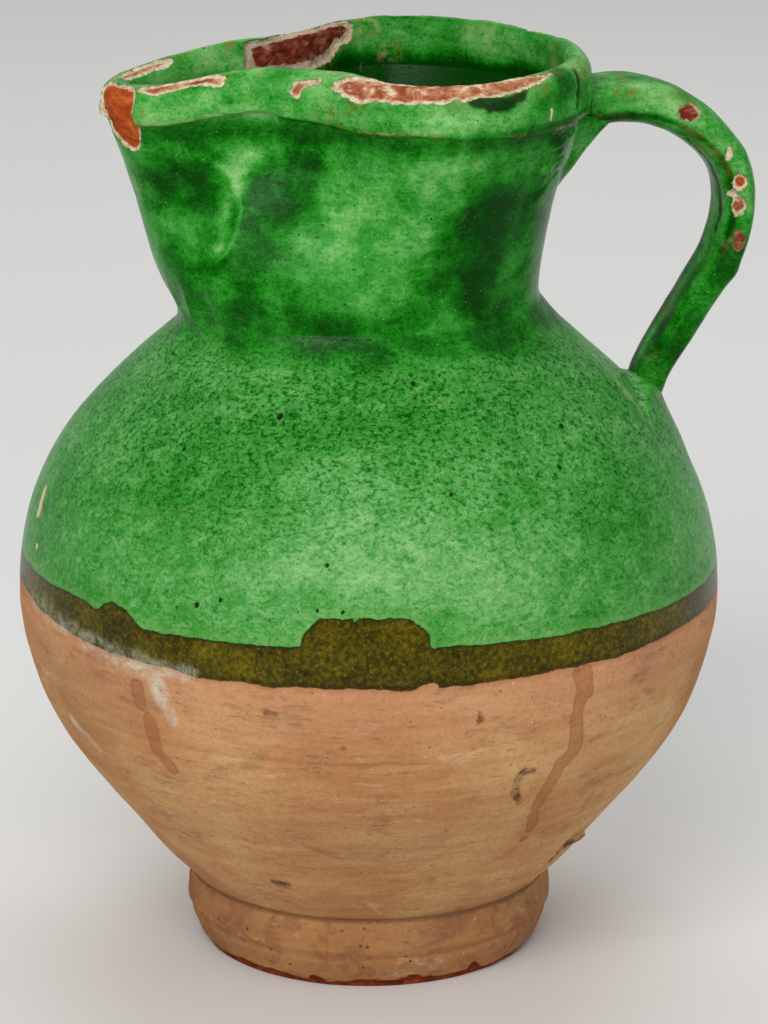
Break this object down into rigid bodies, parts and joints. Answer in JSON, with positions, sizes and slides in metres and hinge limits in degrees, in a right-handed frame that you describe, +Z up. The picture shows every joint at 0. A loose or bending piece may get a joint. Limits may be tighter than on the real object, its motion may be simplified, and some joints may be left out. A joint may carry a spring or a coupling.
{
  "type": "jug",
  "caption": "Footed earthenware pouring jug with a round belly, a flared neck pinched to a spout, and a strap handle from rim to shoulder.",
  "frame": {"origin": "centre of the foot's rest face", "axes": "+Z up the jug's axis, -X towards the spout, +X towards the handle"},
  "size_m": [0.2189, 0.2084, 0.2708],
  "materials": {
    "bare_clay": "unglazed red earthenware, matt, with throwing rings",
    "green_glaze": "glossy mottled green lead glaze over pale slip, chipped at the rim and handle"
  },
  "bodies": {
    "root": {"foot_ring": "bare_clay", "lower_body": "bare_clay", "shoulder": "green_glaze", "neck": "green_glaze", "rim_band": "green_glaze", "handle": "green_glaze", "upper_root_clay": "green_glaze", "lower_root_clay": "green_glaze"}
  },
  "joints": []
}
